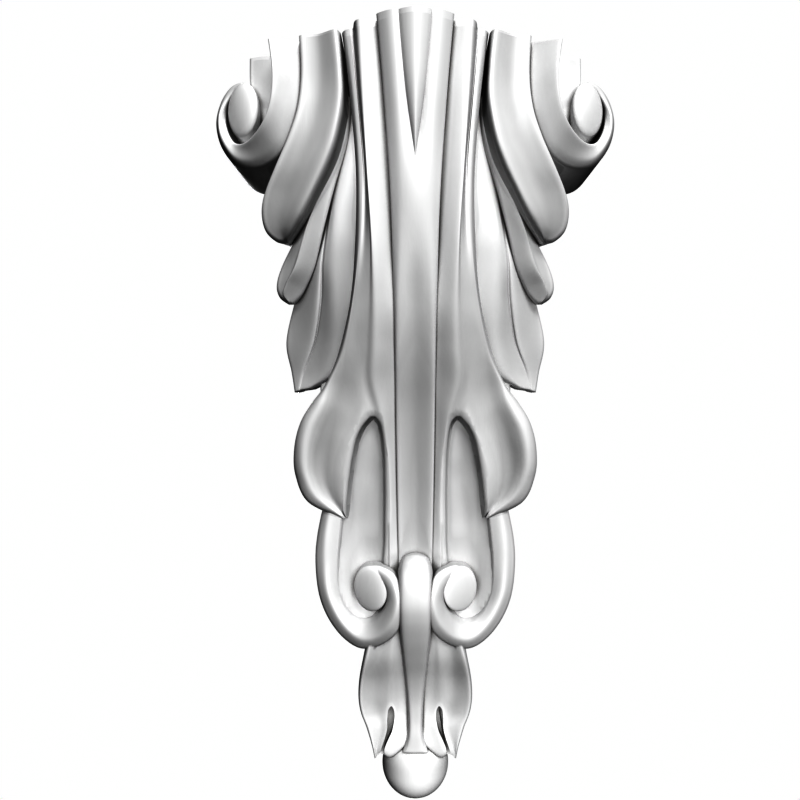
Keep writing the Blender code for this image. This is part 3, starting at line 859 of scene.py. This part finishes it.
@dataclass(frozen=True)
class BottomLeaf(CarvedGroup):
    """The leaf over the ball on each side, with the slit between its two points."""

    blade: Lines = (
        ((21.5, 276, 53), (25.2, 290, 49), (27.7, 303, 42.2), (28.4, 313.5, 38.4), (27.4, 322, 35.8),
         (24.8, 329.5, 33.8), (22, 339.5, 32.8), (20.6, 346.4, 32.6)),
        ((19.8, 276, 55.5), (23.5, 290, 51.5), (26, 303, 44.2), (26.9, 313.5, 39.9), (25.9, 322, 37.5),
         (23.4, 330, 36.3), (21.2, 340, 35.2), (20.4, 346.3, 33.1)),
        ((15.5, 276, 54), (17.8, 290, 49), (19.3, 303, 41.2), (19.7, 313.5, 36.9), (18.8, 322, 34.3),
         (17.3, 330, 34.4), (19.2, 340.5, 34), (20.1, 346.1, 32.7)),
        ((11, 276, 54.5), (12.2, 290, 49.5), (12.9, 303, 42.2), (13.2, 313.5, 37.7), (13, 322, 35.6),
         (13.2, 330, 36.2), (15.8, 341.4, 36.2), (16.2, 344.8, 32.6)),
        ((8.5, 276, 54), (9, 290, 48.5), (9, 303, 41.2), (9, 313.5, 36.7), (9.3, 322, 35.1), (9.8, 330, 35.9),
         (11.4, 342.4, 35.8), (12.2, 346, 31.6)),
        ((3, 276, 52), (3.2, 290, 47), (3.5, 303, 39.7), (3.5, 313.5, 35.4), (3.3, 322, 33.8), (3, 330, 34),
         (2.8, 335, 35.3), (3, 338.5, 36)),
    )
    slit: Pocket = Pocket(outline=(
        ((12.6, 318.2, 40), (14, 320.6, 39.7), (14.5, 325, 39.8), (14.6, 330, 40.2), (15.7, 334.5, 40.2),
         (17.1, 338.7, 39.5), (18.2, 341.8, 38.5), (20.3, 345, 37.5), (20, 348, 37)),
        ((11.4, 318.2, 40), (10.2, 320.9, 39.5), (10, 325, 39.8), (11.2, 331, 40.4), (13, 335, 40.4),
         (14.6, 338.7, 39.8), (15.3, 341.5, 38.4), (15, 344.5, 36.7), (14, 348, 36)),
    ), floor=30.0, lip_radius=0.9, draft=0.5, draft_depth=3.0)

    def lobes(self) -> tuple[Lobe, ...]:
        """The blade."""
        return (Lobe("bottom_leaf", self.blade, 1.5),)

    def pockets(self) -> dict[str, Pocket]:
        """The slit."""
        return {"bottom_leaf": self.slit}


@dataclass(frozen=True)
class RolledLobe(CarvedGroup):
    """The broad lobe that rolls over between the leaf and the volute."""

    surface: Lines = (
        ((53, -4, 84), (52, 16, 83.5), (53.5, 31.5, 83.5), (58, 44.5, 81.5), (64.5, 57, 77),
         (70.5, 68.5, 70.5), (72.6, 77, 65.5), (71.3, 84.5, 61.5), (66.5, 89.2, 59.5), (61.8, 90.2, 59)),
        ((44.5, -4, 85), (43, 16, 84.6), (44, 31, 84.2), (47.5, 44.5, 82.5), (53.4, 57, 78.6),
         (59.5, 68.5, 72.6), (62.7, 77, 68.3), (64, 83.5, 64.5), (63, 88, 61.5), (61.6, 90, 59.7)),
        ((36.5, -4, 90.8), (34.6, 16, 90.6), (34.4, 30, 90.3), (37.5, 45.5, 88.4), (42.3, 57.3, 85),
         (49, 69.3, 79.5), (54, 77.5, 74.5), (57.6, 83, 69.5), (60, 87, 64.8), (61.4, 89.8, 60.5)),
        ((33.9, -4, 87), (32.2, 16.5, 88), (32, 30, 88.3), (35, 46.5, 86.5), (39.5, 58.5, 83),
         (46.5, 71, 77.5), (51.5, 79.3, 72.3), (55.5, 84.6, 67), (58.7, 88, 62.8), (61.1, 90.2, 59.5)),
    )

    def lobes(self) -> tuple[Lobe, ...]:
        """The lobe, with its tip standing clear of what lies under it."""
        return (Lobe("rolled_lobe", self.surface, 1.8, tuck=(4.0, 9.0)),)


@dataclass(frozen=True)
class Volute(CarvedGroup):
    """The big scroll at the top corner: its ribbon, the channel inside it and its eye."""

    ribbon: Lines = (
        ((53, -4, 74.5), (52.5, 17, 74.2), (55, 33, 72.5), (62.2, 48, 67.8), (73, 54.2, 60.5),
         (85.3, 52.6, 54.5), (94, 42.6, 50.8), (97.4, 30.5, 48.5), (95.7, 19.7, 47), (90.5, 13, 49.5),
         (83.5, 11.2, 54)),
        ((60, -4, 77.2), (59.3, 16, 77.4), (60, 32.3, 75.4), (65, 44.5, 71), (75, 50, 64), (86, 48.5, 58.3),
         (93.2, 38.8, 56), (94.8, 28.3, 54.5), (92.3, 18.2, 52), (88, 13, 53.3), (83, 12.2, 56)),
        ((68, -4, 79.3), (65.5, 14.5, 80.7), (66.8, 28, 79), (71.7, 37.6, 74.3), (79.7, 43, 65.5),
         (87, 41.2, 57.5), (91.2, 33, 54), (91.5, 24, 51.5), (88, 16.5, 53.8), (85.5, 14.4, 55.4),
         (82.5, 13.4, 56.8)),
    )
    channel: Lines = (
        ((80, -4, 54), (80, 11.5, 53.6), (78, 21, 52.5), (77.5, 29, 48), (80.5, 36, 22)),
        ((74, -4, 56.4), (73.5, 11.5, 55.6), (73.5, 22, 54), (75.5, 31, 48), (80, 39, 20)),
        ((67.5, -4, 58), (67, 14, 57.5), (68.3, 26.5, 56), (72, 35.5, 49.5), (80, 43, 20)),
    )
    eye: ScrollEye = ScrollEye(centre=(83.1, 25.4), half_width=8.3, half_height=13.1, outer_side=50.0,
                               inner_side=59.5, crown=5.0)

    def lobes(self) -> tuple[Lobe, ...]:
        """The ribbon and the channel."""
        return Lobe("volute", self.ribbon, 1.2), Lobe("volute_channel", self.channel, 1.2)

    def eyes(self) -> tuple[ScrollEye, ...]:
        """The volute's round end."""
        return (self.eye,)


@dataclass(frozen=True)
class SideLeaves(CarvedGroup):
    """The two leaves that fan out under the volute."""

    upper: Lines = (
        ((35, 17, 57), (40, 51, 60), (49, 72, 57.5), (59, 87.5, 50), (66.2, 100, 44.5), (68.8, 108.5, 42),
         (67.3, 114.2, 40.5), (63, 117.4, 39.5)),
        ((33.9, 18.6, 60), (37.8, 43.5, 64), (44.2, 63.8, 64.3), (52.4, 81, 59.3), (59.4, 99.5, 51),
         (64.3, 108.2, 45.3), (65.7, 113.3, 42.4), (62.6, 117.1, 40.2)),
        ((32.6, 19.3, 61), (36, 42.5, 65.2), (41.8, 62.3, 65.9), (49.7, 80, 61.2), (56.8, 99, 53.2),
         (62.3, 108, 46.9), (64.3, 113, 43.4), (62.2, 117, 40.6)),
        ((30, 21.5, 59), (32.3, 42.5, 63), (38.5, 65, 64), (44, 84, 58.5), (48.8, 100, 50.5),
         (54.8, 111, 43.5), (58.5, 115.4, 41), (61, 117.4, 39.7)),
    )
    lower: Lines = (
        ((26, 24, 58), (25.5, 56, 62.5), (25.5, 79.6, 62), (26.5, 98, 58.4), (28.5, 116.5, 51.7),
         (32, 135.5, 41.5), (40.5, 151.5, 31), (53.5, 159.2, 25)),
        ((29, 25, 58.5), (32, 56, 63), (36.5, 79.6, 62.3), (38, 98, 58), (39, 116.5, 51), (40.5, 135.5, 41),
         (46, 151, 31.5), (56, 159.6, 24)),
        ((31.5, 26, 57.5), (37, 56, 60.5), (40.5, 79.6, 59.5), (43.5, 98, 55), (45, 116.5, 46.5),
         (49, 135.5, 35.5), (55.5, 150, 26.5), (59, 160, 22.5)),
        ((32.5, 26.5, 56.5), (38.5, 56, 58), (42, 79.6, 57), (45, 98, 52.5), (46.4, 116.5, 44.3),
         (50.4, 135.5, 33.7), (56.7, 150.5, 25.5), (59.6, 160.3, 22.2)),
        ((33.5, 27, 56), (40, 56, 56.5), (43.5, 79.6, 55), (47, 98, 51.6), (49.5, 116.5, 44.4),
         (53, 135.5, 34.2), (58.7, 150.5, 25.3), (60.5, 160.6, 22)),
        ((35, 27.5, 54), (42, 56, 51), (48, 79.6, 47), (55, 98, 39.8), (61.5, 116.5, 31), (66.3, 135.5, 24.5),
         (64, 150.5, 21.5), (62.5, 161, 20.5)),
    )

    def lobes(self) -> tuple[Lobe, ...]:
        """The upper leaf and the lower one."""
        return (Lobe("upper_side_leaf", self.upper, 1.4, tuck=(3.0, 5.0)),
                Lobe("lower_side_leaf", self.lower, 1.2))


@dataclass(frozen=True)
class BallDrop(CarvedGroup):
    """The ball that hangs at the foot, slightly flattened and cut by the wall plane.

    Args:
        half_width: Half its width.
        half_height: Half its height.
        half_depth: Half its depth.
        down: How far down its centre is.
        out: How far out its centre is.
        fullness: 2 gives a plain ellipsoid, and more a ball that is fuller in front.
        segments: Facets round it.
        rings: Facets from end to end.
    """

    half_width: float = 17.0
    half_height: float = 15.8
    half_depth: float = 21.0
    down: float = 352.2
    out: float = 18.5
    fullness: float = 3.0
    segments: int = 96
    rings: int = 48

    # The smallest radius of a section, of the whole ball's.
    SMALLEST = 1e-6

    def build(self, block: Block, behind: float) -> list[Shape]:
        """Make the ball.

        Args:
            block: The block of wood.
            behind: Not needed, because the ball is closed on its own.

        Returns:
            The ball alone.
        """
        mesh = bmesh.new()
        bmesh.ops.create_uvsphere(mesh, u_segments=self.segments, v_segments=self.rings, radius=1.0)
        for vertex in mesh.verts:
            x, y, z = vertex.co
            widest = max(math.hypot(y, z), self.SMALLEST)
            left = max(1 - (abs(z) / widest) ** self.fullness, 0.0)
            y = math.copysign(widest * left ** (1 / self.fullness), y)
            vertex.co = block.place(np.array([x * self.half_width,
                                              self.down - self.half_height * z,
                                              self.out - y * self.half_depth]))
        return [as_object("ball", mesh)]


@dataclass(frozen=True)
class Weld:
    """The Geometry Nodes tree that joins the lobes into one carved piece.

    Args:
        merge_mm: Vertices closer than this after the cuts are one vertex.
        hollow_steps: How far round a point its hollow is measured, in mesh edges.
        hollow_depth_mm: The hollow that counts as full.
    """

    merge_mm: float = 0.02
    hollow_steps: int = 14
    hollow_depth_mm: float = 0.35

    INPUTS = (("Geometry", "Geometry"), ("Lobes", "Collection"), ("Trims", "Collection"),
              ("Merge Distance", "Float"), ("Hollow Steps", "Int"), ("Hollow Depth", "Float"),
              ("Finish", "Material"))

    def meshes(self, group: Socket) -> Socket:
        """The meshes of a collection.

        Args:
            group: The socket that gives the collection.

        Returns:
            The output socket of its objects, as instances.
        """
        return add_node(group.id_data, "GeometryNodeCollectionInfo", {"transform_space": "RELATIVE"}, {
            "Collection": group, "Separate Children": True}).outputs["Instances"]

    def tree(self) -> bpy.types.NodeTree:
        """Build the tree.

        Returns:
            The tree, with a named input for each size.
        """
        tree = bpy.data.node_groups.new("weld_the_carving", "GeometryNodeTree")
        tree.interface.new_socket("Geometry", in_out="OUTPUT", socket_type="NodeSocketGeometry")
        for name, kind in self.INPUTS:
            tree.interface.new_socket(name, in_out="INPUT", socket_type=f"NodeSocket{kind}")
        given = add_node(tree, "NodeGroupInput").outputs
        joined = add_node(tree, "GeometryNodeMeshBoolean", {"operation": "UNION", "solver": "MANIFOLD"},
                          {"Mesh 2": [given["Geometry"], self.meshes(given["Lobes"])]})
        cut = add_node(tree, "GeometryNodeMeshBoolean", {"operation": "DIFFERENCE", "solver": "MANIFOLD"},
                       {"Mesh 1": joined.outputs["Mesh"], "Mesh 2": self.meshes(given["Trims"])})
        clean = add_node(tree, "GeometryNodeMergeByDistance", inputs={
            "Geometry": cut.outputs["Mesh"], "Distance": given["Merge Distance"]})

        # How hollow or ridged each point is, which the paint turns into painted shade in the hollows and a
        # painted highlight on the ridges.
        where = add_node(tree, "GeometryNodeInputPosition").outputs["Position"]
        wide = add_node(tree, "GeometryNodeBlurAttribute", {"data_type": "FLOAT_VECTOR"}, {
            "Value": where, "Iterations": given["Hollow Steps"], "Weight": 1.0}).outputs["Value"]
        offset = add_node(tree, "ShaderNodeVectorMath", {"operation": "SUBTRACT"}, {0: wide, 1: where})
        normal = add_node(tree, "GeometryNodeInputNormal").outputs["Normal"]
        height = add_node(tree, "ShaderNodeVectorMath", {"operation": "DOT_PRODUCT"}, {
            0: offset.outputs["Vector"], 1: normal}).outputs["Value"]
        hollow = add_node(tree, "ShaderNodeMath", {"operation": "DIVIDE"}, {
            0: height, 1: given["Hollow Depth"]}).outputs["Value"]
        kept = add_node(tree, "GeometryNodeStoreNamedAttribute", {"data_type": "FLOAT", "domain": "POINT"}, {
            "Geometry": clean.outputs["Geometry"], "Name": "hollow", "Value": hollow})
        real = add_node(tree, "GeometryNodeRealizeInstances", inputs={"Geometry": kept.outputs["Geometry"]})
        done = add_node(tree, "GeometryNodeSetMaterial", inputs={
            "Geometry": real.outputs["Geometry"], "Material": given["Finish"]})
        add_node(tree, "NodeGroupOutput", inputs={"Geometry": done.outputs["Geometry"]})
        return tree

    def join(self, shapes: list[Shape], trims: list[Shape],
             finish: bpy.types.Material) -> bpy.types.Mesh:
        """Join the shapes and cut them flat.

        Args:
            shapes: The closed shapes, which are deleted.
            trims: The closed shapes that are cut away, which are deleted.
            finish: The material of the result.

        Returns:
            The mesh of the one carved piece.
        """
        first, rest = shapes[0], shapes[1:]
        groups = {}
        for name, members in (("Lobes", rest), ("Trims", trims)):
            groups[name] = bpy.data.collections.new(name)
            for member in members:
                groups[name].objects.link(member)
        tree = self.tree()
        values = {"Merge Distance": self.merge_mm * MM, "Hollow Steps": self.hollow_steps,
                  "Hollow Depth": self.hollow_depth_mm * MM, "Finish": finish, **groups}
        modifier = first.modifiers.new("Weld", "NODES")
        modifier.node_group = tree
        for item in tree.interface.items_tree:
            if item.in_out == "INPUT" and item.name in values:
                modifier[item.identifier] = values[item.name]
        graph = bpy.context.evaluated_depsgraph_get()
        data = bpy.data.meshes.new_from_object(first.evaluated_get(graph))
        first.modifiers.remove(modifier)
        for used in shapes + trims:
            bpy.data.objects.remove(used, do_unlink=True)
        for group in groups.values():
            bpy.data.collections.remove(group)
        return data


@dataclass(frozen=True)
class Corbel:
    """The whole carved bracket, which is one piece of wood.

    Args:
        block: The block it is carved from.
        finish: Its paint.
        weld: How its lobes are joined.
        smooth_angle: Edges sharper than this stay crisp in the shading, in degrees.
    """

    block: Block
    finish: SatinPaintedWood
    weld: Weld = Weld()
    smooth_angle: float = 48.0

    def trim(self, kind: Trim) -> Shape:
        """A box that cuts the carving off flat.

        Args:
            kind: The cut that it makes.

        Returns:
            The box.
        """
        reach = 2 * max(self.block.high)
        low, high = {Trim.WALL: ((-reach, 0.0, -reach), (reach, reach, reach)),
                     Trim.TOP: ((-reach, -reach, self.block.high[2]), (reach, reach / 2, reach))}[kind]
        mesh = bmesh.new()
        bmesh.ops.create_cube(mesh, size=1.0)
        for vertex in mesh.verts:
            vertex.co = [a + (b - a) * (share + 0.5) for a, b, share in zip(low, high, vertex.co)]
        return as_object(f"{kind.value}_trim", mesh)

    def build(self) -> Shape:
        """Carve every sub-assembly and weld them into the one piece.

        Returns:
            The finished piece, in place of the plain solid.
        """
        paint = self.finish.material()
        groups = (Ground(), Stem(), CurledTongue(), LongLeaf(), CuppedLeaf(), BottomLeaf(), RolledLobe(),
                  Volute(), SideLeaves(), BallDrop())
        shapes = []
        for group in groups:
            made = group.build(self.block, BEHIND_WALL + BEHIND_STEP * len(shapes))
            group.dress(made, paint)
            shapes += made
            LOG.info("%s: %d shapes", type(group).__name__, len(made))
        trims = [self.trim(kind) for kind in Trim]
        data = self.weld.join(shapes, trims, paint)
        data.shade_smooth()
        data.set_sharp_from_angle(angle=math.radians(self.smooth_angle))
        piece = bpy.data.objects.new("carved_corbel", data)
        bpy.context.collection.objects.link(piece)
        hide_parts("corbel")
        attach(piece, "root")
        return piece


@dataclass(frozen=True)
class Studio:
    """The camera opposite the corbel, the soft lights and the pale floor.

    Args:
        frame_pixels: Width and height of the photograph.
        focal_pixels: The camera's focal length in the photograph's pixels.
        centre_column: The photograph's column that the corbel's centreline falls on.
        camera_out: How far the camera is from the wall, in metres.
        camera_down: How far the camera is below the top of the corbel, in metres.
        sensor_mm: Width of the camera's sensor.
        key_strength: The light that casts shadows.
        front_strength: The light without shadows, which comes the same way.
        back_strength: The light from behind, which shows the back.
        softness: How broad each light is, in degrees.
        fill_strength: The even light from all round.
        ahead: Which way the key and the front light shine.
        behind: Which way the light from behind shines.
        floor_radius: Radius of the floor, in metres.
        floor_drop: How far the floor is below the corbel, in metres.
        floor_colour: The floor's sRGB colour.
        floor_roughness: The floor's roughness.
    """

    frame_pixels: int = 800
    focal_pixels: float = 966.0
    centre_column: float = 415.3
    camera_out: float = 0.5206
    camera_down: float = 0.165
    sensor_mm: float = 36.0
    key_strength: float = 1.4
    front_strength: float = 4.3
    back_strength: float = 2.5
    softness: float = 20.0
    fill_strength: float = 0.01
    ahead: Point = (-0.24, 1.05, -0.60)
    behind: Point = (0.1, -1.0, -0.15)
    floor_radius: float = 0.24
    floor_drop: float = 0.4
    floor_colour: str = "E6E6E6"
    floor_roughness: float = 0.9

    def camera(self) -> None:
        """Put the camera where the photograph's was."""
        data = bpy.data.cameras.new("camera")
        data.sensor_width = self.sensor_mm
        data.lens = self.sensor_mm * self.focal_pixels / self.frame_pixels
        data.shift_x = -(self.centre_column - self.frame_pixels / 2) / self.frame_pixels
        holder = bpy.data.objects.new("camera", data)
        bpy.context.collection.objects.link(holder)
        holder.location = (0.0, -self.camera_out, CAD_BOX[1].z - self.camera_down)
        holder.rotation_euler = (math.radians(90), 0.0, 0.0)
        bpy.context.scene.camera = holder

    def lights(self) -> None:
        """Put up the lights.

        A broad key and a front light come from in front, above and a little to the
        right, one light comes from behind, and a weak even fill from all round.
        """
        suns = (("key", self.key_strength, True, self.ahead),
                ("front", self.front_strength, False, self.ahead),
                ("back", self.back_strength, True, self.behind))
        for name, strength, shadows, towards in suns:
            light = bpy.data.lights.new(name, "SUN")
            light.energy = strength
            light.angle = math.radians(self.softness)
            light.use_shadow = shadows
            holder = bpy.data.objects.new(name, light)
            bpy.context.collection.objects.link(holder)
            holder.rotation_euler = direction_angles(np.array(towards))
        world = bpy.data.worlds.new("studio")
        bpy.context.scene.world = world
        world.use_nodes = True
        tree = world.node_tree
        tree.nodes.clear()
        seen = add_node(tree, "ShaderNodeLightPath").outputs["Is Camera Ray"]
        sky = add_node(tree, "ShaderNodeBackground", inputs={
            "Color": linear("FFFFFF"), "Strength": ranged(seen, 0.0, 1.0, self.fill_strength)})
        add_node(tree, "ShaderNodeOutputWorld", inputs={"Surface": sky.outputs["Background"]})

    def floor(self) -> Shape:
        """A plain pale round floor, a little below the corbel.

        Returns:
            The floor.
        """
        mesh = bmesh.new()
        bmesh.ops.create_circle(mesh, cap_ends=True, segments=128, radius=self.floor_radius)
        for vertex in mesh.verts:
            vertex.co.z = CAD_BOX[0].z - self.floor_drop
        made = as_object("floor", mesh)
        paper = bpy.data.materials.new("matt_pale_board")
        paper.use_nodes = True
        shader = paper.node_tree.nodes["Principled BSDF"]
        shader.inputs["Base Color"].default_value = linear(self.floor_colour)
        shader.inputs["Roughness"].default_value = self.floor_roughness
        made.data.materials.append(paper)
        return made

    def build(self) -> None:
        """Set up the camera, the lights and the floor, and show the colours as they are."""
        self.camera()
        self.lights()
        self.floor()
        bpy.context.scene.view_settings.view_transform = "Raw"


def direction_angles(towards: np.ndarray) -> Point:
    """The turn that points a light's ray along a direction.

    Args:
        towards: The direction.

    Returns:
        The Euler angles.
    """
    x, y, z = towards / np.linalg.norm(towards)
    return (math.acos(-z), 0.0, math.atan2(-x, y))


def main() -> None:
    """Build the corbel and the studio round it."""
    logging.basicConfig(level=logging.INFO, format="%(name)s: %(message)s")
    low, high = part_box("corbel")
    corbel = Corbel(Block(tuple(low), tuple(high)), SatinPaintedWood())
    piece = corbel.build()
    LOG.info("%s: %d vertices", piece.name, len(piece.data.vertices))
    Studio().build()


if __name__ == "__main__":
    main()
